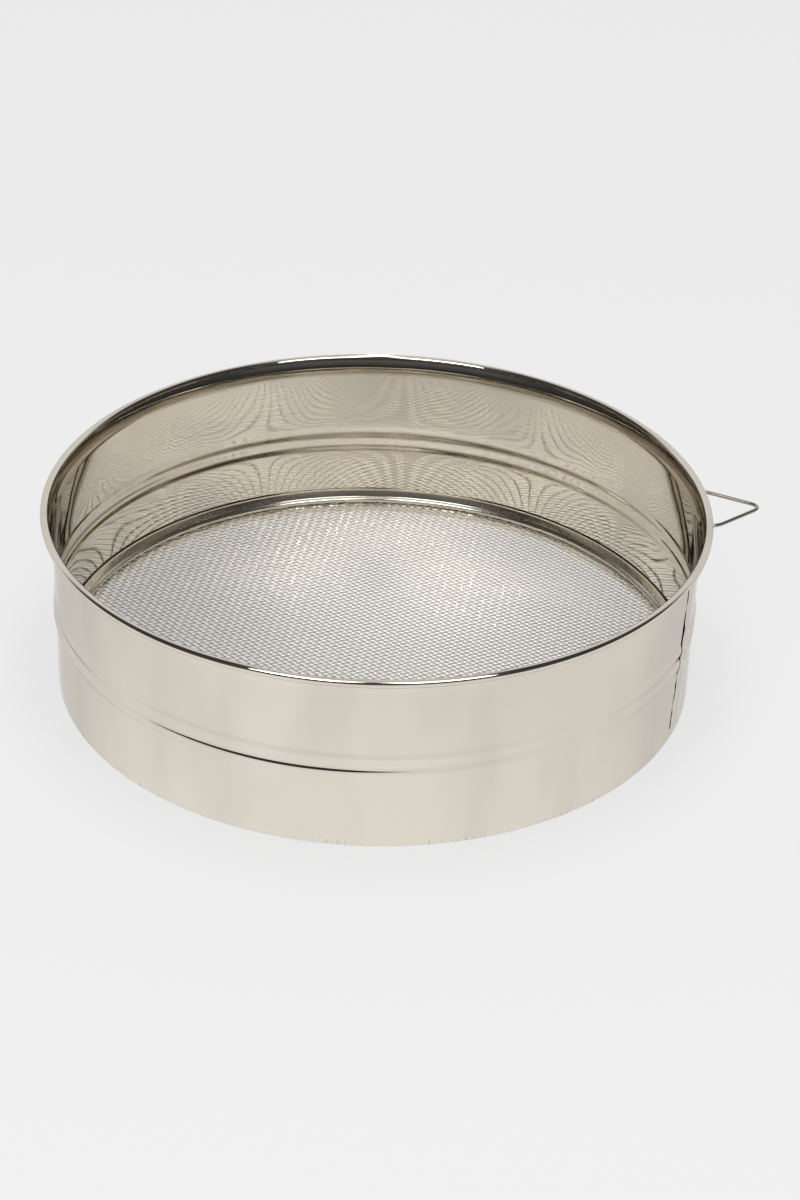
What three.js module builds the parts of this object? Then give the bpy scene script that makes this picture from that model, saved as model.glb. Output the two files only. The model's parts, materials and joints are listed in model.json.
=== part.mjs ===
// Round drum sieve of polished stainless sheet with a coarse woven screen and a wire hanging loop.
// Millimetres, +Z up. The origin is the centre of the screen's upper face, on the drum's axis.
// The hanging loop stands out along +X.
import * as THREE from 'three';

// Drum wall: one strip of sheet, rolled to a hoop
const wallRadius = 145; // outer face of the plain wall
const drumHeight = 85; // table to the top of the rim
const sheet = 0.5; // thickness of the wall strip

// Rim: the wall flares out and curls over a wire
const rimBead = 3.6; // outside diameter of the curl
const rimFlare = 1.9; // how far the wall steps out under the curl
const flareHeight = 5.5; // height of that step, up to the curl's centre
const curlEnd = THREE.MathUtils.degToRad(-115); // where the curl's free edge stops
const wireClearance = 0.3; // rim wire to the inside of the curl

// Rib: two ridges side by side, rolled outwards round the middle of the wall
const ribCentre = 40.15; // the groove between the ridges, above the table
const ribPitch = 7.1; // from ridge to ridge, and the width of each
const ribDepth = 0.7;

// Hem: the lower edge, rolled inwards to a seat for the screen
const hemHeight = 4.2;
const hemDepth = 4;
const hemBend = 1.2; // centreline radius of its inner bends
const hemCorner = 0.75; // centreline radius of the outer lower corner
const hemEndGap = 0.65; // free edge of the seat to the wall

// Screen: plain woven cloth of round wire, built as a coarser flat grid
const meshWire = 0.5;
const meshPitch = 2.54;
const screenMargin = 0.9; // cut edge of the cloth to the wall
const screenBorder = 3.6; // plain edge gripped between the hem and the ring
const gridCells = 12; // openings across the grid
const gridTurn = THREE.MathUtils.degToRad(18); // the wires run aslant to the loop
const smallestOpening = 4; // openings cut smaller by the border are left out

// Screen ring: a formed strip that presses the cloth on the hem
const ringSheet = 0.5;
const ringHeight = 6.5; // above the cloth
const ringBead = 3.5; // outside diameter of its rolled lower edge
const ringReach = 3.6; // how far it stands into the drum
const ringClearance = 0.3; // ring to wall

// Hanging loop: a bent wire whose straight bar turns in a rolled clip
const loopWire = 1.7;
const loopDrop = 9; // rim top to the bar
const loopHalfWidth = 15.8;
const loopShoulder = 5.9; // bar to the bends where the legs turn inwards
const loopTip = 28.3; // bar to the corner of the legs, before rounding
const loopBend = 2.4; // length that each bend takes from its two legs
const loopEndGap = 1; // between the two wire ends, inside the clip
const loopSides = 8;
const loopSteps = 56;

// Clip: a strip welded to the wall, with its upper end rolled round the bar
const clipSheet = 0.5;
const clipWidth = 14;
const clipLength = 9.5; // flat part below the bar
const clipClearance = 0.3; // clip to wall
const barClearance = 0.25; // bar in the clip's roll
const clipRollEnd = THREE.MathUtils.degToRad(-140); // where the roll's free edge stops

const turns = 60; // facets round the drum

// Heights above the table
const clampGap = 2 * meshWire; // the cloth is two wires thick
const barShare = meshWire / meshPitch; // wire to pitch, the same in the cloth and in the grid
const clothMetal = (Math.PI * meshWire ** 2) / (2 * meshPitch); // the cloth's metal as a plain sheet
const screenSheet = clothMetal / (1 - (1 - barShare) ** 2); // the same metal in the bars of the grid
const screenMiddle = hemHeight + clampGap / 2;
const screenTop = screenMiddle + screenSheet / 2;
const wallInner = wallRadius - sheet;
const beadCentre = new THREE.Vector2(wallInner + rimFlare + rimBead / 2, drumHeight - rimBead / 2);
const barHeight = drumHeight - loopDrop;
const barRadius = wallRadius + clipClearance + clipSheet + barClearance + loopWire / 2;

const steel = (color, roughness) => new THREE.MeshStandardMaterial({ color, roughness, metalness: 1 });
const point = (r, z) => new THREE.Vector2(r, z);

// Points on an arc in the radius and height plane, from angle a0 to a1
function arc(centre, radius, a0, a1, steps) {
  const points = [];
  for (let i = 0; i <= steps; i++) {
    const a = a0 + ((a1 - a0) * i) / steps;
    points.push(point(centre.x + radius * Math.cos(a), centre.y + radius * Math.sin(a)));
  }
  return points;
}

// Closed outline of a bent strip, from its centreline and thickness, anticlockwise
function stripOutline(path, thickness) {
  const left = [];
  const right = [];
  path.forEach((p, i) => {
    const before = path[Math.max(i - 1, 0)];
    const after = path[Math.min(i + 1, path.length - 1)];
    const along = after.clone().sub(p);
    const back = p.clone().sub(before);
    const normalAfter = (along.length() ? along : back).clone().normalize();
    const normalBefore = (back.length() ? back : along).clone().normalize();
    const mitre = normalAfter.clone().add(normalBefore).normalize();
    const reach = thickness / 2 / mitre.dot(normalAfter);
    const side = point(-mitre.y, mitre.x).multiplyScalar(reach);
    left.push(p.clone().add(side));
    right.push(p.clone().sub(side));
  });
  const outline = left.concat(right.reverse());
  return THREE.ShapeUtils.area(outline) < 0 ? outline.reverse() : outline;
}

// Solid of revolution about Z from a closed outline
function ringGeometry(outline) {
  return new THREE.LatheGeometry([...outline, outline[0]], turns).rotateX(Math.PI / 2);
}

// Round wire along a line of corners, each corner rounded by a bend
function wireGeometry(corners, diameter, bend, sides, steps) {
  const path = new THREE.CurvePath();
  let from = corners[0];
  for (let i = 1; i < corners.length - 1; i++) {
    const corner = corners[i];
    const enter = corner.clone().sub(corners[i - 1]).setLength(bend);
    const leave = corners[i + 1].clone().sub(corner).setLength(bend);
    const start = corner.clone().sub(enter);
    const end = corner.clone().add(leave);
    path.add(new THREE.LineCurve3(from, start));
    path.add(new THREE.QuadraticBezierCurve3(start, corner, end));
    from = end;
  }
  path.add(new THREE.LineCurve3(from, corners[corners.length - 1]));
  const section = new THREE.Shape(arc(point(0, 0), diameter / 2, 0, 2 * Math.PI, sides).slice(0, sides));
  return new THREE.ExtrudeGeometry(section, { steps, extrudePath: path });
}

// The strip from the hem's free edge, down round the hem, up the wall and over the rim's curl
function wallPath() {
  const middle = wallRadius - sheet / 2;
  const seat = hemHeight - sheet / 2;
  const floor = sheet / 2;
  const hemInner = wallRadius - hemDepth + sheet / 2;
  const flared = middle + rimFlare;
  const flareStart = beadCentre.y - flareHeight;
  const rib = [-1, -0.75, -0.5, -0.25, 0, 0.25, 0.5, 0.75, 1].map((share) => {
    const bulge = (ribDepth * (1 - Math.cos(2 * Math.PI * share))) / 2;
    return point(middle + bulge, ribCentre + share * ribPitch);
  });
  const flare = [0, 0.35, 0.65].map((share) => {
    const step = (rimFlare * (1 - Math.cos(Math.PI * share))) / 2;
    return point(middle + step, flareStart + share * flareHeight);
  });
  const curlRadius = beadCentre.x - flared;
  return [
    point(wallInner - hemEndGap, seat),
    ...arc(point(hemInner + hemBend, seat - hemBend), hemBend, Math.PI / 2, Math.PI, 2),
    ...arc(point(hemInner + hemBend, floor + hemBend), hemBend, Math.PI, 1.5 * Math.PI, 2),
    ...arc(point(middle - hemCorner, floor + hemCorner), hemCorner, -Math.PI / 2, 0, 2),
    ...rib,
    ...flare,
    ...arc(beadCentre, curlRadius, Math.PI, curlEnd, 10),
  ];
}

function drumWall() {
  return new THREE.Mesh(ringGeometry(stripOutline(wallPath(), sheet)), steel(0xcfcac0, 0.14));
}

function rimWire() {
  const radius = rimBead / 2 - sheet - wireClearance;
  const outline = arc(beadCentre, radius, 0, 2 * Math.PI, 6).slice(0, 6);
  return new THREE.Mesh(ringGeometry(outline), steel(0xa9a59d, 0.35));
}

// Corners of each opening in one quarter of the grid, cut off where the border's inner edge crosses it
function gridOpenings(open) {
  const pitch = (2 * open) / gridCells;
  const bar = pitch * barShare;
  const reach = (across) => Math.sqrt(Math.max(open ** 2 - across ** 2, 0));
  const openings = [];
  for (let i = 0; i < gridCells / 2; i++) {
    for (let j = 0; j < gridCells / 2; j++) {
      const [x0, y0] = [i * pitch + bar / 2, j * pitch + bar / 2];
      const [x1, y1] = [x0 + pitch - bar, y0 + pitch - bar];
      if (Math.min(reach(y0) - x0, reach(x0) - y0) < smallestOpening) continue;
      const corners = [point(x0, y0), point(Math.min(x1, reach(y0)), y0)];
      if (reach(x1) > y0) corners.push(point(x1, Math.min(y1, reach(x1))));
      if (reach(y1) > x0 && reach(y1) < x1) corners.push(point(reach(y1), y1));
      corners.push(point(x0, Math.min(y1, reach(x0))));
      openings.push(corners);
    }
  }
  return openings;
}

// A flat grid with the cloth's metal and share of open area, in the cloth's middle plane
function meshScreen() {
  const edge = wallInner - screenMargin;
  const disc = new THREE.Shape(arc(point(0, 0), edge, 0, 2 * Math.PI, turns).slice(0, turns));
  for (const corners of gridOpenings(edge - screenBorder)) {
    for (const [alongX, alongY] of [[1, 1], [-1, 1], [-1, -1], [1, -1]]) {
      const turned = corners.map((p) => point(p.x * alongX, p.y * alongY).rotateAround(point(0, 0), gridTurn));
      disc.holes.push(new THREE.Path(turned));
    }
  }
  const geometry = new THREE.ExtrudeGeometry(disc, { depth: screenSheet, bevelEnabled: false });
  geometry.translate(0, 0, screenTop - screenSheet);
  return new THREE.Mesh(geometry, steel(0xbfbcb6, 0.3));
}

function screenRing() {
  const foot = hemHeight + clampGap + ringSheet / 2;
  const outer = wallInner - ringClearance - ringSheet / 2;
  const top = hemHeight + clampGap + ringHeight;
  const beadRadius = (ringBead - ringSheet) / 2;
  const bead = point(wallInner - ringReach + ringBead / 2, foot + beadRadius);
  const rolled = arc(bead, beadRadius, -Math.PI / 2, -1.36 * Math.PI, 5);
  const shoulder = rolled[rolled.length - 1];
  const cove = new THREE.QuadraticBezierCurve(shoulder, point(outer, shoulder.y + ringSheet), point(outer, top));
  const path = [point(outer, foot), ...rolled, ...cove.getPoints(3).slice(1)];
  return new THREE.Mesh(ringGeometry(stripOutline(path, ringSheet)), steel(0xc4bfb4, 0.18));
}

// Modelled about the bar: local X points away from the drum, local Y runs along the bar
function hangingLoop() {
  const corner = (x, y) => new THREE.Vector3(x, y, 0);
  const corners = [
    corner(0, loopEndGap / 2),
    corner(0, loopHalfWidth),
    corner(loopShoulder, loopHalfWidth),
    corner(loopTip, 0),
    corner(loopShoulder, -loopHalfWidth),
    corner(0, -loopHalfWidth),
    corner(0, -loopEndGap / 2),
  ];
  return new THREE.Mesh(wireGeometry(corners, loopWire, loopBend, loopSides, loopSteps), steel(0xb9b5ad, 0.2));
}

// Section in local X (away from the drum) and local Y (up), about the bar
function loopClip() {
  const roll = loopWire / 2 + barClearance + clipSheet / 2;
  const path = [point(-roll, -clipLength), ...arc(point(0, 0), roll, Math.PI, clipRollEnd, 10)];
  const section = new THREE.Shape(stripOutline(path, clipSheet));
  const geometry = new THREE.ExtrudeGeometry(section, { depth: clipWidth, bevelEnabled: false });
  geometry.translate(0, 0, -clipWidth / 2).rotateX(Math.PI / 2);
  return new THREE.Mesh(geometry, steel(0xbdb9b0, 0.25));
}

const sieve = new THREE.Group();
sieve.position.z = -screenTop;

const barGroup = new THREE.Group();
barGroup.position.set(barRadius, 0, barHeight);
sieve.add(barGroup);

const pieces = [
  ['drum_wall', drumWall(), sieve],
  ['rim_wire', rimWire(), sieve],
  ['mesh_screen', meshScreen(), sieve],
  ['screen_ring', screenRing(), sieve],
  ['loop_clip', loopClip(), barGroup],
  ['hanging_loop', hangingLoop(), barGroup],
];
for (const [name, mesh, parent] of pieces) {
  mesh.name = name;
  parent.add(mesh);
}

export default sieve;
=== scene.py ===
import json
import math

import bmesh
import bpy
from mathutils import Matrix, Vector


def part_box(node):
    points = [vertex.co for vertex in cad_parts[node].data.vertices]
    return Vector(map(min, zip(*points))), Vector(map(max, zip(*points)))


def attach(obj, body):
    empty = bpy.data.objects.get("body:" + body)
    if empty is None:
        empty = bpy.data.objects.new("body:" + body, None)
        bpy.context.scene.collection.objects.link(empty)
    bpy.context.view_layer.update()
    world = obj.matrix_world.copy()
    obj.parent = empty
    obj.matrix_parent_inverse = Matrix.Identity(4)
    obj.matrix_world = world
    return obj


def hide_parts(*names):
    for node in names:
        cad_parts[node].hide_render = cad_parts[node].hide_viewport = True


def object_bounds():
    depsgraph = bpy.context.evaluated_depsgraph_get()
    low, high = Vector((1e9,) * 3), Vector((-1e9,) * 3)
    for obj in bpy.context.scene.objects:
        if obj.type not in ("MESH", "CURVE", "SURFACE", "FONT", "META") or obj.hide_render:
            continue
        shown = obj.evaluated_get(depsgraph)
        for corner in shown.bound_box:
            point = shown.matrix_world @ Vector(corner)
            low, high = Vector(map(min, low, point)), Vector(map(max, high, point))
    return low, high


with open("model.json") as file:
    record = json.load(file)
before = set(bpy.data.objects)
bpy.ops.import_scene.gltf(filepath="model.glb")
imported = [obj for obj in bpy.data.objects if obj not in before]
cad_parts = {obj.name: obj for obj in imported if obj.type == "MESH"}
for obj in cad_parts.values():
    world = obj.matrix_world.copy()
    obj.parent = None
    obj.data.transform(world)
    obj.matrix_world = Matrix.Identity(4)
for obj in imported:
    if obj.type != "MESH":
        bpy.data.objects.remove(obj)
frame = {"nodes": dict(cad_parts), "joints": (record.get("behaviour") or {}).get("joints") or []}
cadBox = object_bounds()
mm = 0.001
print("frame loaded:", sorted(frame["nodes"]))


# helpers

def linear(hexColour):  # sRGB hex to linear RGBA
    channels = [int(hexColour[i:i + 2], 16) / 255 for i in (1, 3, 5)]
    return [c / 12.92 if c <= 0.04045 else ((c + 0.055) / 1.055) ** 2.4 for c in channels] + [1.0]


def addNode(tree, kind, inputs=None, **settings):  # one node with its settings, values and links
    node = tree.nodes.new(kind)
    for name, value in settings.items():
        setattr(node, name, value)
    for name, value in (inputs or {}).items():
        source = value.outputs[0] if isinstance(value, bpy.types.Node) else value
        if isinstance(source, bpy.types.NodeSocket):
            tree.links.new(source, node.inputs[name])
        else:
            node.inputs[name].default_value = source
    return node


def newObject(name, mesh, material=None, smooth=True):
    obj = bpy.data.objects.new(name, mesh)
    bpy.context.scene.collection.objects.link(obj)
    if material:
        mesh.materials.append(material)
    mesh.polygons.foreach_set("use_smooth", [smooth] * len(mesh.polygons))
    mesh.update()
    return obj


def evaluatedMesh(obj):  # what the object comes to, as a plain mesh
    depsgraph = bpy.context.evaluated_depsgraph_get()
    return bpy.data.meshes.new_from_object(obj.evaluated_get(depsgraph))


def bakeModifiers(obj):
    mesh = evaluatedMesh(obj)
    obj.modifiers.clear()
    obj.data = mesh
    return obj


def closedMesh(name, verts, faces):  # with every face turned outwards
    mesh = bpy.data.meshes.new(name)
    mesh.from_pydata(verts, [], faces)
    work = bmesh.new()
    work.from_mesh(mesh)
    bmesh.ops.recalc_face_normals(work, faces=work.faces)
    work.to_mesh(mesh)
    work.free()
    return mesh


def direction(azimuth, elevation):  # unit vector, from degrees round from +X and above the table
    turn, rise = math.radians(azimuth), math.radians(elevation)
    return Vector((math.cos(turn) * math.cos(rise), math.sin(turn) * math.cos(rise), math.sin(rise)))


def drumPoint(radius, angle, z):  # mm round the drum's axis to metres
    return radius * math.cos(angle) * mm, radius * math.sin(angle) * mm, z * mm


def arcPoints(centre, radius, startDeg, endDeg, steps):
    points = []
    for i in range(steps + 1):
        a = math.radians(startDeg + (endDeg - startDeg) * i / steps)
        points.append((centre[0] + radius * math.cos(a), centre[1] + radius * math.sin(a)))
    return points


def stripOutline(path, thickness, sharpest=0.3):  # closed outline of a bent strip round its centreline
    left, right = [], []
    for i, here in enumerate(path):
        p = Vector(here)
        before = p - Vector(path[i - 1]) if i else Vector(path[1]) - p
        after = Vector(path[i + 1]) - p if i < len(path) - 1 else before
        before.normalize()
        after.normalize()
        mitre = (before + after).normalized()
        reach = thickness / 2 / max(mitre.dot(after), sharpest)
        side = Vector((-mitre.y, mitre.x)) * reach
        left.append(p + side)
        right.append(p - side)
    return left + right[::-1]


def bentWire(corners, steps):  # points along straight legs, each corner rounded by its own bend
    places = [Vector(place) for place, bend in corners]
    bends = [bend for place, bend in corners]
    points = [places[0]]
    for before, corner, after, bend in zip(places, places[1:], places[2:], bends[1:]):
        start = corner + (before - corner).normalized() * bend
        end = corner + (after - corner).normalized() * bend
        for i in range(steps + 1):
            t = i / steps
            points.append(start * (1 - t) ** 2 + corner * 2 * t * (1 - t) + end * t * t)
    return points + [places[-1]]


def turnedMesh(name, outline, steps, shift=None):  # closed ring from an outline in radius and height
    verts, faces = [], []
    count = len(outline)
    for j in range(steps):
        angle = 2 * math.pi * j / steps
        for r, z in outline:
            verts.append(drumPoint(r + (shift(angle, z) if shift else 0), angle, z))
    for j in range(steps):
        for i in range(count):
            a, b = j * count + i, j * count + (i + 1) % count
            c, d = (j + 1) % steps * count + (i + 1) % count, (j + 1) % steps * count + i
            faces.append((a, d, c, b))
    return closedMesh(name, verts, faces)


# camera at the photograph's angle, fitted to the rim, the lower edge and the ribs

cameraView = {
    "lens": 81.0,
    "sensor": 36.0,  # along the picture's long side
    "distance": 1252.4,
    "azimuth": -96.4,  # the loop lies 6.4 degrees round from the picture's right
    "elevation": 32.47,
    "pan": -0.53,
    "tilt": 1.30,
    "roll": -1.49,
}
tableFoot = Vector((0, 0, cadBox[0][2]))  # where the axis meets the table
behind = -direction(cameraView["azimuth"], 0)  # level, away from the lens
across = Vector((behind.y, -behind.x, 0))  # level, to the lens's right


def makeCamera():
    c = cameraView
    out = direction(c["azimuth"], c["elevation"])
    right = (-out).cross(Vector((0, 0, 1))).normalized()
    axes = {"up": right.cross(-out), "right": right, "forward": -out}
    for name, angle in (("up", "pan"), ("right", "tilt"), ("forward", "roll")):
        turn = Matrix.Rotation(math.radians(c[angle]), 3, axes[name])
        axes = {key: turn @ axis for key, axis in axes.items()}
    data = bpy.data.cameras.new("photoCamera")
    data.lens = c["lens"]
    data.sensor_width = c["sensor"]
    camera = bpy.data.objects.new("photoCamera", data)
    bpy.context.scene.collection.objects.link(camera)
    place = Matrix((axes["right"], axes["up"], -axes["forward"])).transposed().to_4x4()
    place.translation = tableFoot + out * c["distance"] * mm
    camera.matrix_world = place
    bpy.context.scene.camera = camera


makeCamera()
print("camera placed")


# studio: pale floor, white wall behind, dark room on the camera's side, two softboxes beside the lens

studioFloor = {
    "colour": "#ececec",
    "backdrop": "#f3f3f3",
    "size": 30.0,
    "lensGlow": 0.86,  # share of the floor that the lens sees as evenly lit backdrop
    "mirrorGlow": 0.88,  # the same for mirrors
    "wallTurn": -14.0,  # degrees round from the lens, where the wall throws most light on the table
    "wallRange": (0.02, 0.24),  # from the foot of the wall there
    "wallGain": (0.11, -0.02),  # what mirrors see of it, near and far
    "shadeRange": (0.144, 0.19),  # from the axis
    "shade": 0.07,  # how much less light the lens sees on the table close round the drum
    "poolPlace": (0.03, 0.055),  # light pooled by the hollow wall, right of and behind the axis
    "poolRange": (0.02, 0.15),
    "poolGain": (0.23, -0.28),  # in its middle and far from it
    "poolMirrored": 0.6,  # how much of that mirrors see
}


def floorMaterial():  # matt paper, most of which the lens and mirrors see as backdrop
    f = studioFloor
    material = bpy.data.materials.new("matt_white_sweep")
    material.use_nodes = True
    tree = material.node_tree
    tree.nodes.clear()
    place = addNode(tree, "ShaderNodeTexCoord").outputs["Object"]
    foot = tableFoot + direction(cameraView["azimuth"] + f["wallTurn"], 0) * cadBox[1][1]
    pool = tableFoot + across * f["poolPlace"][0] + behind * f["poolPlace"][1]

    # brighter or darker by the distance from the wall's foot, the axis and the pooled light
    distances, changes = [], []
    for centre, (near, far), (nearGain, farGain) in (
            (foot, f["wallRange"], f["wallGain"]),
            (Vector(), f["shadeRange"], (-f["shade"], 0.0)),
            (pool, f["poolRange"], f["poolGain"])):
        away = addNode(tree, "ShaderNodeVectorMath", {0: place, 1: centre}, operation="DISTANCE")
        distances.append(away.outputs["Value"])
        changes.append(addNode(tree, "ShaderNodeMapRange", {
            "Value": distances[-1], "From Min": near, "From Max": far,
            "To Min": nearGain, "To Max": farGain}, interpolation_type="SMOOTHSTEP"))
    thrown, shaded, pooled = changes
    inside = addNode(tree, "ShaderNodeMath", {0: distances[1], 1: f["shadeRange"][0]},
                     operation="LESS_THAN")
    poolShare = addNode(tree, "ShaderNodeMath", {0: inside, 1: f["poolMirrored"]},
                        operation="MULTIPLY")
    mirrorChange = addNode(tree, "ShaderNodeMath", {0: pooled, 1: poolShare, 2: thrown},
                           operation="MULTIPLY_ADD")
    lensChange = addNode(tree, "ShaderNodeMix", {0: inside, 2: shaded, 3: pooled},
                         data_type="FLOAT")

    path = addNode(tree, "ShaderNodeLightPath").outputs
    strength, seen = 1.0, 0.0
    for ray, change, share in (("Is Glossy Ray", mirrorChange, f["mirrorGlow"]),
                               ("Is Camera Ray", lensChange, f["lensGlow"])):
        strength = addNode(tree, "ShaderNodeMath", {0: path[ray], 1: change, 2: strength},
                           operation="MULTIPLY_ADD")
        seen = addNode(tree, "ShaderNodeMath", {0: path[ray], 1: share, 2: seen},
                       operation="MULTIPLY_ADD")
    paper = addNode(tree, "ShaderNodeBsdfDiffuse", {"Color": linear(f["colour"])})
    glow = addNode(tree, "ShaderNodeEmission", {
        "Color": linear(f["backdrop"]), "Strength": strength})
    mixed = addNode(tree, "ShaderNodeMixShader", {0: seen, 1: paper, 2: glow})
    addNode(tree, "ShaderNodeOutputMaterial", {"Surface": mixed})
    return material


def makeFloor():
    half, low = studioFloor["size"] / 2, cadBox[0][2]
    corners = [(-half, -half, low), (half, -half, low), (half, half, low), (-half, half, low)]
    mesh = bpy.data.meshes.new("studioFloor")
    mesh.from_pydata(corners, [], [(0, 1, 2, 3)])
    newObject("studio_floor", mesh, floorMaterial(), smooth=False)


studioRoom = {
    "sides": 0.05,
    "lensSide": 0.1,
    "lensEdge": (-0.45, -0.8),  # where that begins and is full, by the cosine from straight behind
    "horizon": 0.03,
    "horizonEdge": (0.3, 0.05),  # by the sine of the height
    "backWall": 0.8,
    "wallEdge": (0.25, 0.6),
    "roof": 0.85,
    "roofEdge": (0.92, 0.985),
}


def makeRoom():
    r = studioRoom
    world = bpy.data.worlds.new("studioRoom")
    bpy.context.scene.world = world
    world.use_nodes = True
    tree = world.node_tree
    tree.nodes.clear()
    way = addNode(tree, "ShaderNodeTexCoord").outputs["Generated"]
    height = addNode(tree, "ShaderNodeSeparateXYZ", {0: way}).outputs["Z"]
    backward = addNode(tree, "ShaderNodeVectorMath", {0: way, 1: behind},
                       operation="DOT_PRODUCT").outputs["Value"]
    level = r["sides"]
    for measure, (start, full), brightness in (
            (backward, r["lensEdge"], r["lensSide"]), (height, r["horizonEdge"], r["horizon"]),
            (backward, r["wallEdge"], r["backWall"]), (height, r["roofEdge"], r["roof"])):
        level = addNode(tree, "ShaderNodeMapRange", {
            "Value": measure, "From Min": start, "From Max": full,
            "To Min": level, "To Max": brightness}, interpolation_type="SMOOTHSTEP")
    lens = addNode(tree, "ShaderNodeLightPath").outputs["Is Camera Ray"]
    backdrop = linear(studioFloor["backdrop"])[0]
    seen = addNode(tree, "ShaderNodeMix", {0: lens, 2: level, 3: backdrop}, data_type="FLOAT")
    light = addNode(tree, "ShaderNodeBackground", {"Strength": seen, "Color": (1, 1, 1, 1)})
    addNode(tree, "ShaderNodeOutputWorld", {"Surface": light})


studioLamps = {
    "boxTurn": 27.0,  # degrees to each side of the lens
    "boxHeight": 52.0,  # degrees above the table
    "boxDistance": 1.5,
    "boxSize": 0.62,
    "boxPower": (7.2, 6.0),  # left and right
    "thrownSpots": ((-43, 74), (42, 60), (-24, 116), (24, 116)),  # mm right of and behind the axis
    "thrownHeight": 80.0,  # degrees above the table
    "thrownDistance": 1.0,
    "thrownSpread": 3.0,  # degrees
    "thrownSoftness": 0.03,
    "thrownPower": 60.0,
    "thrownColour": "#fffaf2",
}


def hangLamp(lamp, target, way, distance):
    holder = bpy.data.objects.new(lamp.name, lamp)
    holder.location = target + way * distance
    holder.rotation_euler = (-way).to_track_quat("-Z", "Y").to_euler()
    bpy.context.scene.collection.objects.link(holder)


def makeLamps():
    s = studioLamps
    for side, power in zip((-1, 1), s["boxPower"]):
        box = bpy.data.lights.new("softbox", "AREA")
        box.size = s["boxSize"]
        box.energy = power
        boxWay = direction(cameraView["azimuth"] + side * s["boxTurn"], s["boxHeight"])
        hangLamp(box, Vector(), boxWay, s["boxDistance"])
    thrownWay = direction(cameraView["azimuth"] + 180, s["thrownHeight"])
    for right, back in s["thrownSpots"]:  # the wall, a hollow mirror, throws lamp light on the cloth
        spot = bpy.data.lights.new("thrownLight", "SPOT")
        spot.energy = s["thrownPower"]
        spot.color = linear(s["thrownColour"])[:3]
        spot.spot_size = math.radians(s["thrownSpread"])
        spot.spot_blend = 1.0
        spot.shadow_soft_size = s["thrownSoftness"]
        hangLamp(spot, (across * right + behind * back) * mm, thrownWay, s["thrownDistance"])


makeFloor()
makeRoom()
makeLamps()
bpy.context.scene.view_settings.view_transform = "Standard"
print("studio made")


# materials

unrollRadius = 145.0  # mm, of the wall that the patterns are laid round
grazingTint = "#e4e4e3"  # steel dims where it is seen edge-on


def roundTheDrum(tree):  # Object coordinates unrolled: along the wall and up it, in metres
    place = addNode(tree, "ShaderNodeTexCoord").outputs["Object"]
    x, y, z = addNode(tree, "ShaderNodeSeparateXYZ", {0: place}).outputs
    turn = addNode(tree, "ShaderNodeMath", {0: y, 1: x}, operation="ARCTAN2")
    along = addNode(tree, "ShaderNodeMath", {0: turn, 1: unrollRadius * mm}, operation="MULTIPLY")
    return addNode(tree, "ShaderNodeCombineXYZ", {"X": along, "Y": z})


def metal(name, finish, settings):
    material = bpy.data.materials.new(name)
    material.use_nodes = True
    shader = material.node_tree.nodes["Principled BSDF"]
    shader.inputs["Metallic"].default_value = 1.0
    shader.inputs["Specular Tint"].default_value = linear(grazingTint)
    finish(material.node_tree, shader, settings)
    return material


sheetFinish = {
    "colour": "#e1dace",
    "hazeColour": "#d9d2c6",
    "roughness": 0.035,
    "hazeRoughness": 0.06,
    "hazeLength": 42.0,  # mm, bands left by rolling and handling
    "hazeHeight": 150.0,
    "hazeShown": (0.42, 0.68),  # of the noise
    "lineSpacing": 0.5,  # mm, polishing lines; the real ones are finer than a pixel
    "lineLength": 30.0,
    "lineDepth": 0.00015,
    "crimpColour": "#a39c8f",  # short upright marks above the lower edge, from rolling it inwards
    "crimpSpacing": 1.6,
    "crimpLength": 17.0,
    "crimpShown": (0.56, 0.72),
    "crimpHeights": (3.4, 3.4 / 3),  # above the table, where they fade out and where they are full
    "runLength": 55.0,  # of the stretches that have them
    "runShown": (0.42, 0.6),
    "runStrength": 0.8,
}


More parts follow.
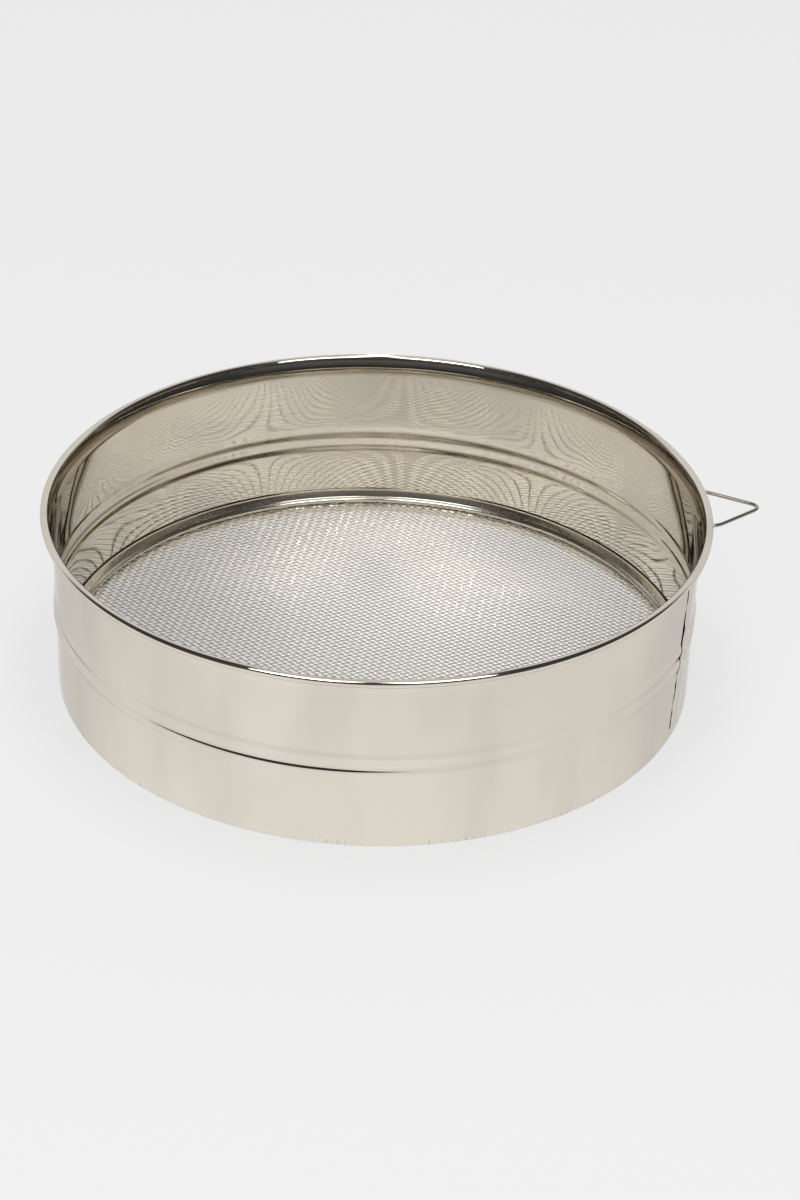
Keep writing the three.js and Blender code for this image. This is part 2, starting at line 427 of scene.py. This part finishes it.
def polishedSheet(tree, shader, f):  # rolled and buffed: mirror with faint haze and lines along the strip
    unrolled = roundTheDrum(tree)
    patterns = []
    for length, height, detail in (
            (f["hazeLength"], f["hazeHeight"], 2.0), (f["lineLength"], f["lineSpacing"], 2.0),
            (f["crimpSpacing"], f["crimpLength"], 1.0), (f["runLength"], f["runLength"], 0.0)):
        laid = addNode(tree, "ShaderNodeMapping", {
            "Vector": unrolled, "Scale": (1 / (length * mm), 1 / (height * mm), 1.0)})
        patterns.append(addNode(tree, "ShaderNodeTexNoise", {
            "Vector": laid, "Scale": 1.0, "Detail": detail}))
    haze, lines, strokes, runs = patterns
    patch = addNode(tree, "ShaderNodeMapRange", {
        "Value": haze, "From Min": f["hazeShown"][0], "From Max": f["hazeShown"][1]},
                    interpolation_type="SMOOTHSTEP")
    rough = addNode(tree, "ShaderNodeMapRange", {
        "Value": patch, "To Min": f["roughness"], "To Max": f["hazeRoughness"]})
    tone = addNode(tree, "ShaderNodeMix", {
        0: patch, 6: linear(f["colour"]), 7: linear(f["hazeColour"])}, data_type="RGBA")

    # crimp marks, in stretches, close above the table
    stroke = addNode(tree, "ShaderNodeMapRange", {
        "Value": strokes, "From Min": f["crimpShown"][0], "From Max": f["crimpShown"][1]})
    run = addNode(tree, "ShaderNodeMapRange", {
        "Value": runs, "From Min": f["runShown"][0], "From Max": f["runShown"][1],
        "To Max": f["runStrength"]})
    height = addNode(tree, "ShaderNodeSeparateXYZ", {0: unrolled}).outputs["Y"]
    fadeOut, full = (cadBox[0][2] + h * mm for h in f["crimpHeights"])
    fade = addNode(tree, "ShaderNodeMapRange", {
        "Value": height, "From Min": fadeOut, "From Max": full})
    shown = addNode(tree, "ShaderNodeMath", {0: run, 1: fade}, operation="MULTIPLY")
    crimp = addNode(tree, "ShaderNodeMath", {0: stroke, 1: shown}, operation="MULTIPLY")
    marked = addNode(tree, "ShaderNodeMix", {
        0: crimp, 6: tone.outputs[2], 7: linear(f["crimpColour"])}, data_type="RGBA")
    bump = addNode(tree, "ShaderNodeBump", {
        "Height": lines, "Strength": 1.0, "Distance": f["lineDepth"] * mm})
    tree.links.new(rough.outputs[0], shader.inputs["Roughness"])
    tree.links.new(marked.outputs[2], shader.inputs["Base Color"])
    tree.links.new(bump.outputs[0], shader.inputs["Normal"])


ringFinish = dict(sheetFinish, roughness=0.13, hazeRoughness=0.18)


def drawnWire(tree, shader, f):  # drawn through a die: satin, with dull patches along the wire
    place = addNode(tree, "ShaderNodeTexCoord").outputs["Object"]
    marks = addNode(tree, "ShaderNodeTexNoise", {
        "Vector": place, "Scale": 1 / (f["patchSize"] * mm), "Detail": 3.0})
    tone = addNode(tree, "ShaderNodeMix", {
        0: marks, 6: linear(f["colour"]), 7: linear(f["dullColour"])}, data_type="RGBA")
    rough = addNode(tree, "ShaderNodeMapRange", {
        "Value": marks, "To Min": f["roughness"], "To Max": f["dullRoughness"]})
    tree.links.new(tone.outputs[2], shader.inputs["Base Color"])
    tree.links.new(rough.outputs[0], shader.inputs["Roughness"])


clothFinish = {
    "colour": "#dbd4c7",
    "dullColour": "#ccc5b8",
    "roughness": 0.24,
    "dullRoughness": 0.36,
    "patchSize": 4.0,  # mm, drawing marks along the wire
}
loopFinish = {
    "colour": "#bab5ac",
    "dullColour": "#a49f96",
    "roughness": 0.1,
    "dullRoughness": 0.17,
    "patchSize": 3.0,
}
# nearly black colour for the lap's free edge
darkEdgeFinish = {
    "colour": "#3a3530",
    "dullColour": "#2a2622",
    "roughness": 0.5,
    "dullRoughness": 0.7,
    "patchSize": 1.5,
}
stainlessSheet = metal("stainless_sheet_buffed", polishedSheet, sheetFinish)
stainlessStrip = metal("stainless_strip_rolled", polishedSheet, ringFinish)  # less polished: blurred mirror
stainlessWire = metal("stainless_wire_woven", drawnWire, clothFinish)  # soft gleam on each crest
loopSteel = metal("stainless_wire_drawn", drawnWire, loopFinish)  # thicker and smoother: sharper gleam
nearBlackEdge = metal("stainless_edge_near_black", drawnWire, darkEdgeFinish)  # nearly black, for the dark line along the lap's free edge
print("materials made")


# drum wall: flared and curled at the top, ribbed, hemmed inwards at the bottom

drumWall = {
    "sheet": 0.5,
    "bead": 3.6,
    "flare": 1.9,
    "flareHeight": 8.5,
    "flareSteps": 16,
    "curlEnd": -115.0,  # degrees
    "curlSteps": 22,
    "ribCentre": 40.15,  # the groove between the two ridges, above the table
    "ribPitch": 7.1,
    "ribDepths": (0.76, 0.58),  # lower and upper ridge
    "ribDrift": 0.26,  # how much deeper the lower ridge is rolled on the left, shallower on the right
    "ribSteps": 32,
    "hemHeight": 4.2,
    "hemDepth": 4.0,
    "hemBend": 1.2,
    "hemCorner": 0.75,
    "hemEndGap": 0.65,
    "hemSteps": 5,
    "uprightSteps": 6,
    "turnSteps": 480,
    "waver": 0.12,  # how far the thin sheet strays from true round
    "waves": ((1.0, 3, 0.7, 2.1), (0.7, 7, 1.9, -3.0), (0.4, 13, 0.3, 4.0), (0.15, 29, 2.2, -2.0),
              (0.06, 47, 0.0, 3.0)),  # share of that, number round the drum, start, twist up the wall
}
wallLow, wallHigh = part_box("drum_wall")
tableZ = wallLow[2] / mm
rimTopZ = wallHigh[2] / mm
wallRadius = wallHigh[1] / mm - drumWall["bead"] - drumWall["flare"] + drumWall["sheet"]
wallInner = wallRadius - drumWall["sheet"]


def ribBulge(angle, z):  # two round ridges side by side
    share = (z - tableZ - drumWall["ribCentre"]) / drumWall["ribPitch"]
    if abs(share) >= 1:
        return 0
    lower, upper = drumWall["ribDepths"]
    drift = drumWall["ribDrift"] * math.sin(angle - math.radians(cameraView["azimuth"]))
    depth = upper if share > 0 else lower - drift
    return depth * (1 - math.cos(2 * math.pi * share)) / 2


def flareBulge(z):  # the wall leans out more and more up to the curl
    rise = (z - (rimTopZ - drumWall["bead"] / 2 - drumWall["flareHeight"])) / drumWall["flareHeight"]
    return drumWall["flare"] * min(max(rise, 0), 1) ** 2


def wallCentreline():
    w = drumWall
    half = w["sheet"] / 2
    middle = wallRadius - half
    seat, floor = tableZ + w["hemHeight"] - half, tableZ + half
    bend, corner = w["hemBend"], w["hemCorner"]
    bendR = wallRadius - w["hemDepth"] + half + bend
    beadR, beadZ = wallInner + w["flare"] + w["bead"] / 2, rimTopZ - w["bead"] / 2
    path = [(wallInner - w["hemEndGap"], seat)]
    path += arcPoints((bendR, seat - bend), bend, 90, 180, w["hemSteps"])
    path += arcPoints((bendR, floor + bend), bend, 180, 270, w["hemSteps"])
    path += arcPoints((middle - corner, floor + corner), corner, -90, 0, w["hemSteps"])
    ribLow = tableZ + w["ribCentre"] - w["ribPitch"]
    ribHigh = ribLow + 2 * w["ribPitch"]
    flareLow = beadZ - w["flareHeight"]
    for low, high, steps, first, last in (
            (path[-1][1], ribLow, w["uprightSteps"], 1, w["uprightSteps"] - 1),
            (ribLow, ribHigh, w["ribSteps"], 0, w["ribSteps"]),
            (ribHigh, flareLow, w["uprightSteps"], 1, w["uprightSteps"] - 1),
            (flareLow, beadZ, w["flareSteps"], 0, w["flareSteps"] - 1)):
        heights = [low + (high - low) * i / steps for i in range(first, last + 1)]
        path += [(middle + flareBulge(z), z) for z in heights]
    path += arcPoints((beadR, beadZ), beadR - middle - w["flare"], 180, w["curlEnd"], w["curlSteps"])
    return path


def sheetWaver(angle, z):  # slow waves of a rolled hoop, gone at the rim and the hem
    up = min(max((z - tableZ) / (rimTopZ - tableZ), 0), 1)
    waves = sum(share * math.sin(count * angle + start + twist * up)
                for share, count, start, twist in drumWall["waves"])
    return drumWall["waver"] * math.sin(math.pi * up) * waves


def wallShift(angle, z):
    return sheetWaver(angle, z) + ribBulge(angle, z)


wallMesh = turnedMesh("drum_wall_sheet", stripOutline(wallCentreline(), drumWall["sheet"]),
                      drumWall["turnSteps"], wallShift)
wall = newObject("drum_wall_sheet", wallMesh, stainlessSheet)
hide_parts("drum_wall")
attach(wall, "drum")
print("drum wall:", len(wallMesh.polygons), "faces")


# lap seam: the strip's outer end, spot-welded over its start

lapSeam = {
    "azimuth": -28.4,  # of the free edge
    "width": 16.0,
    "crowding": 1.4,  # draws the columns together towards the free edge
    "overlap": 8.0,
    "lowEnd": 6.0,  # above the table
    "highEnd": 77.2,
    "sheet": 0.5,
    "gap": 0.06,
    "rootSink": 0.04,  # how far the root, and at most the underside, lie inside the wall's face
    "underSink": 0.06,
    "edge": 0.17,  # the free edge is hammered down to this
    "edgeWidth": 3.0,
    "edgeWaves": ((0.4, 29, 0.0), (0.3, 67, 0.5)),  # share of that, radians up the seam, start
    "lift": 0.3,  # and stands off by this much more at one height
    "liftHeight": 51.0,
    "liftReach": 6.0,
    "wobble": ((0.3, 31, 0.0), (0.2, 57, 1.1)),  # mm that the edge strays, radians up the seam, start
    "lean": -4.5,  # degrees that the edge runs forward from top to bottom
    "columns": 14,
    "rows": 90,
    "creaseAngle": 40.0,  # degrees
}


def seamWaves(waves, up):
    return sum(size * math.sin(turns * up + start) for size, turns, start in waves)


def makeLap():
    s = lapSeam
    verts, faces = [], []
    for underside in (False, True):
        for i in range(s["rows"] + 1):
            up = i / s["rows"]
            z = tableZ + s["lowEnd"] + (s["highEnd"] - s["lowEnd"]) * up
            edge = s["edge"] * (1 + seamWaves(s["edgeWaves"], up))
            edge += s["lift"] * math.exp(-((z - tableZ - s["liftHeight"]) / s["liftReach"]) ** 2)
            wobble = seamWaves(s["wobble"], up)
            for j in range(s["columns"] + 1):
                along = s["width"] * (j / s["columns"]) ** s["crowding"]  # from the free edge to the root
                angle = math.radians(s["azimuth"] + s["lean"] * (0.5 - up))
                angle += (along + wobble * (1 - along / s["width"])) / wallRadius
                rise = min(max((s["width"] - along) / (s["width"] - s["overlap"]), 0), 1)
                rise = rise * rise * (3 - 2 * rise)  # eased at both ends
                near = max(0, 1 - along / s["edgeWidth"]) ** 2
                offset = (s["sheet"] + s["gap"]) * rise * (1 - near) + edge * near
                offset -= s["rootSink"] * (1 - rise)
                if underside:
                    offset = max(offset - s["sheet"], -s["underSink"])
                radius = wallRadius + flareBulge(z) + wallShift(angle, z) + offset
                verts.append(drumPoint(radius, angle, z))
    rowLength = s["columns"] + 1
    layer = rowLength * (s["rows"] + 1)
    for i in range(s["rows"]):
        for j in range(s["columns"]):
            a = i * rowLength + j
            b = a + rowLength
            faces.append((a, a + 1, b + 1, b))
            faces.append((layer + a, layer + b, layer + b + 1, layer + a + 1))
    border = ([i * rowLength for i in range(s["rows"] + 1)]
              + [s["rows"] * rowLength + j for j in range(1, rowLength)]
              + [i * rowLength + rowLength - 1 for i in range(s["rows"] - 1, -1, -1)]
              + [j for j in range(rowLength - 2, 0, -1)])
    firstEdgeFace = len(faces)
    for a, b in zip(border, border[1:] + border[:1]):
        faces.append((a, b, layer + b, layer + a))
    mesh = closedMesh("lap_seam", verts, faces)
    seam = newObject("lap_seam", mesh, stainlessSheet)
    mesh.materials.append(nearBlackEdge)
    for face in mesh.polygons[firstEdgeFace:firstEdgeFace + s["rows"]]:  # the free edge
        face.material_index = 1
    crease = seam.modifiers.new("crease", "EDGE_SPLIT")
    crease.split_angle = math.radians(s["creaseAngle"])
    return bakeModifiers(seam)


lap = makeLap()
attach(lap, "drum")
print("lap seam made")


# screen ring: formed strip that presses the cloth on the hem

screenRing = {
    "sheet": 0.5,
    "reach": 3.6,  # from the wall's inner face into the drum
    "bead": 1.2,  # radius of the bead's centreline
    "beadHeight": 0.9,  # of its centre above the foot
    "beadArc": (221.0, 105.0),  # degrees
    "beadSteps": 14,
    "crease": 2.5,  # where the sloping upper part begins, above the foot
    "creaseShift": 0.2,
    "creaseBend": 0.25,
    "cone": 5.7,  # and where it meets the wall
    "coneBend": 0.5,
    "bendSteps": 6,
    "turnSteps": 360,
}


def makeScreenRing():
    g = screenRing
    low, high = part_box("screen_ring")
    half = g["sheet"] / 2
    outer, foot, top = high[1] / mm - half, low[2] / mm + half, high[2] / mm
    bead = (wallInner - g["reach"] + half + g["bead"], foot + g["beadHeight"])
    path = [(outer, foot)] + arcPoints(bead, g["bead"], *g["beadArc"], g["beadSteps"])
    crease = (bead[0] + g["creaseShift"], foot + g["crease"])
    cone = (outer, foot + g["cone"])
    path += bentWire([(path.pop(), 0), (crease, g["creaseBend"]), (cone, g["coneBend"]), ((outer, top), 0)],
                     g["bendSteps"])
    mesh = turnedMesh("screen_ring_strip", stripOutline(path, g["sheet"]), g["turnSteps"])
    return newObject("screen_ring_strip", mesh, stainlessStrip)


ring = makeScreenRing()
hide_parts("screen_ring")
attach(ring, "drum")
print("screen ring made")


# woven cloth: two sets of crimped wires, over and under each other

wovenCloth = {
    "pitch": 2.54,
    "wire": 0.5,
    "setAngle": 102.0,  # degrees between the sets: the cloth is pulled a little out of square
    "direction": 23.6,  # of the first set
    "samplesPerPitch": 3,
    "wireSides": 6,
    "unevenness": 0.7,  # the cloth's slow ups and downs
    "unevenSize": 70.0,
    "halves": 2,  # each set is made in two lots of wires
}


def clothTree():
    tree = bpy.data.node_groups.new("wovenWires", "GeometryNodeTree")
    sockets = {}
    for name, kind in (
            ("Wires", "Int"), ("First wire", "Vector"), ("Step", "Vector"), ("Wire start", "Vector"),
            ("Wire end", "Vector"), ("Samples", "Int"), ("Wire radius", "Float"), ("Cloth radius", "Float"),
            ("Own rows", "Vector"), ("Crossed rows", "Vector"), ("Phase", "Float"), ("Turn", "Vector"),
            ("Place", "Vector"), ("Unevenness", "Float")):
        socket = tree.interface.new_socket(name, in_out="INPUT", socket_type="NodeSocket" + kind)
        sockets[name] = socket.identifier
    tree.interface.new_socket("Geometry", in_out="OUTPUT", socket_type="NodeSocketGeometry")
    given = addNode(tree, "NodeGroupInput").outputs

    # straight wires side by side, cut to the round
    rows = addNode(tree, "GeometryNodeMeshLine", {
        "Count": given["Wires"], "Start Location": given["First wire"],
        "Offset": given["Step"]}, mode="OFFSET")
    line = addNode(tree, "GeometryNodeCurvePrimitiveLine", {
        "Start": given["Wire start"], "End": given["Wire end"]})
    sampled = addNode(tree, "GeometryNodeResampleCurve", {"Curve": line, "Count": given["Samples"]})
    copies = addNode(tree, "GeometryNodeInstanceOnPoints", {"Points": rows, "Instance": sampled})
    wires = addNode(tree, "GeometryNodeRealizeInstances", {"Geometry": copies})
    place = addNode(tree, "GeometryNodeInputPosition")
    reach = addNode(tree, "ShaderNodeVectorMath", {0: place}, operation="LENGTH").outputs["Value"]
    outside = addNode(tree, "FunctionNodeCompare", {0: reach, 1: given["Cloth radius"]},
                      operation="GREATER_THAN", data_type="FLOAT")
    cut = addNode(tree, "GeometryNodeDeleteGeometry", {"Geometry": wires, "Selection": outside},
                  domain="POINT")

    # crimped over and under the wires of the other set
    own, crossed = (addNode(tree, "ShaderNodeVectorMath", {0: place, 1: given[name]},
                            operation="DOT_PRODUCT").outputs["Value"]
                    for name in ("Own rows", "Crossed rows"))
    row = addNode(tree, "ShaderNodeMath", {0: own}, operation="ROUND")
    steps = addNode(tree, "ShaderNodeMath", {0: row, 1: crossed}, operation="ADD")
    turn = addNode(tree, "ShaderNodeMath", {0: steps, 1: math.pi, 2: given["Phase"]},
                   operation="MULTIPLY_ADD")
    wave = addNode(tree, "ShaderNodeMath", {0: turn}, operation="COSINE")
    crimp = addNode(tree, "ShaderNodeMath", {0: wave, 1: given["Wire radius"]}, operation="MULTIPLY")
    crimped = addNode(tree, "GeometryNodeSetPosition", {
        "Geometry": cut, "Offset": addNode(tree, "ShaderNodeCombineXYZ", {"Z": crimp})})

    # turned to its direction and laid unevenly, but flat where the ring grips it
    laid = addNode(tree, "GeometryNodeTransform", {
        "Geometry": crimped, "Rotation": given["Turn"], "Translation": given["Place"]})
    here = addNode(tree, "GeometryNodeInputPosition")
    slow = addNode(tree, "ShaderNodeTexNoise", {
        "Vector": here, "Scale": 1 / (wovenCloth["unevenSize"] * mm), "Detail": 1.0})
    level = addNode(tree, "ShaderNodeMath", {0: slow, 1: 0.5}, operation="SUBTRACT")
    rise = addNode(tree, "ShaderNodeMath", {0: level, 1: given["Unevenness"]}, operation="MULTIPLY")
    spread = addNode(tree, "ShaderNodeVectorMath", {0: here}, operation="LENGTH").outputs["Value"]
    free = addNode(tree, "ShaderNodeMapRange", {
        "Value": spread, "From Min": given["Cloth radius"], "From Max": 0.0},
                   interpolation_type="SMOOTHSTEP")
    sag = addNode(tree, "ShaderNodeMath", {0: rise, 1: free}, operation="MULTIPLY")
    settled = addNode(tree, "GeometryNodeSetPosition", {
        "Geometry": laid, "Offset": addNode(tree, "ShaderNodeCombineXYZ", {"Z": sag})})

    section = addNode(tree, "GeometryNodeCurvePrimitiveCircle", {
        "Resolution": wovenCloth["wireSides"], "Radius": given["Wire radius"]})
    solid = addNode(tree, "GeometryNodeCurveToMesh", {
        "Curve": settled, "Profile Curve": section, "Fill Caps": True})
    smooth = addNode(tree, "GeometryNodeSetShadeSmooth", {"Geometry": solid})
    real = addNode(tree, "GeometryNodeRealizeInstances", {"Geometry": smooth})
    done = addNode(tree, "GeometryNodeSetMaterial", {"Geometry": real, "Material": stainlessWire})
    addNode(tree, "NodeGroupOutput", {"Geometry": done})
    return tree, sockets


def makeCloth():
    c = wovenCloth
    low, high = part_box("mesh_screen")
    radius, pitch = high[0], c["pitch"] * mm
    tree, sockets = clothTree()
    perSet = 2 * int(radius / pitch) + 1
    first = -(perSet // 2)
    pieces = []
    for setIndex, setName in enumerate(("warp", "weft")):
        angle = math.radians(c["setAngle"]) * (1 - 2 * setIndex)
        turn = math.radians(c["direction"] + c["setAngle"] * setIndex)
        for lot in range(c["halves"]):
            begin = first + perSet * lot // c["halves"]
            finish = first + perSet * (lot + 1) // c["halves"]
            name = setName + "_wires_" + "ab"[lot]
            obj = newObject(name, bpy.data.meshes.new(name))
            modifier = obj.modifiers.new("weave", "NODES")
            modifier.node_group = tree
            settings = {
                "Wires": finish - begin,
                "First wire": (0, begin * pitch, 0),
                "Step": (0, pitch, 0),
                "Wire start": (-radius, 0, 0),
                "Wire end": (radius, 0, 0),
                "Samples": int(2 * radius / pitch * c["samplesPerPitch"]) + 1,
                "Wire radius": c["wire"] / 2 * mm,
                "Cloth radius": radius,
                "Own rows": (0, 1 / pitch, 0),
                "Crossed rows": (math.sin(angle) / pitch, -math.cos(angle) / pitch, 0),
                "Phase": math.pi * setIndex,
                "Turn": (0, 0, turn),
                "Place": (0, 0, (low[2] + high[2]) / 2),
                "Unevenness": 2 * c["unevenness"] * mm,
            }
            for socket, value in settings.items():
                modifier[sockets[socket]] = value
            pieces.append(bakeModifiers(obj))
            print(name, len(obj.data.polygons), "faces")
    return pieces


cloth = makeCloth()
for piece in cloth:
    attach(piece, "drum")
    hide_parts("mesh_screen")


# hanging loop, a bent wire, and the clip whose roll carries its bar

hangingLoop = {
    "wire": 1.7,
    "halfWidth": 15.8,
    "shoulder": 5.9,
    "tip": 29.9,
    "bend": 2.4,
    "tipBend": 6.5,
    "endGap": 1.0,
    "bendSteps": 12,
    "roundness": 6,
}
hinge = frame["joints"][0]
barX, barZ = hinge["pos_m"][0] / mm, hinge["pos_m"][2] / mm


def makeLoop():
    h = hangingLoop
    half = [(0, h["endGap"] / 2, 0), (0, h["halfWidth"], h["bend"]),
            (h["shoulder"], h["halfWidth"], h["bend"])]
    around = half + [(h["tip"], 0, h["tipBend"])] + [(x, -y, bend) for x, y, bend in reversed(half)]
    points = bentWire([((x + barX, y, barZ), bend) for x, y, bend in around], h["bendSteps"])
    curve = bpy.data.curves.new("hanging_loop_wire", "CURVE")
    curve.dimensions = "3D"
    spline = curve.splines.new("POLY")
    spline.points.add(len(points) - 1)
    for target, p in zip(spline.points, points):
        target.co = (*(p * mm), 1)
    curve.bevel_depth = h["wire"] / 2 * mm
    curve.bevel_resolution = h["roundness"]
    curve.use_fill_caps = True
    holder = bpy.data.objects.new("loopCurve", curve)
    bpy.context.scene.collection.objects.link(holder)
    mesh = evaluatedMesh(holder)
    bpy.data.objects.remove(holder)
    mesh.materials.clear()
    return newObject("hanging_loop_wire", mesh, loopSteel)


loop = makeLoop()
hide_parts("hanging_loop")
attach(loop, "loop")

loopClip = {
    "sheet": 0.5,
    "barClearance": 0.25,
    "rollEnd": -140.0,  # degrees
    "rollSteps": 36,
    "edge": 0.12,  # rounding of the cut edges
    "edgeSteps": 2,
    "edgeAngle": 50.0,  # sharper corners than this are rounded, degrees
}


def makeClip():
    k = loopClip
    low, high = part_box("loop_clip")
    roll = hangingLoop["wire"] / 2 + k["barClearance"] + k["sheet"] / 2
    path = [(barX - roll, low[2] / mm)]
    path += arcPoints((barX, barZ), roll, 180, k["rollEnd"], k["rollSteps"])
    outline = stripOutline(path, k["sheet"])
    count = len(outline)
    verts = [(x * mm, y, z * mm) for y in (low[1], high[1]) for x, z in outline]
    faces = [(i, (i + 1) % count, count + (i + 1) % count, count + i) for i in range(count)]
    faces += [tuple(range(count)), tuple(range(2 * count - 1, count - 1, -1))]
    strip = newObject("loop_clip_strip", closedMesh("loop_clip_strip", verts, faces), stainlessSheet)
    bevel = strip.modifiers.new("edge", "BEVEL")
    bevel.width = k["edge"] * mm
    bevel.segments = k["edgeSteps"]
    bevel.angle_limit = math.radians(k["edgeAngle"])
    return bakeModifiers(strip)


clip = makeClip()
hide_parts("loop_clip")
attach(clip, "drum")
for slot in frame["nodes"]["rim_wire"].material_slots:
    slot.material = loopSteel
print("hanging loop and clip made")
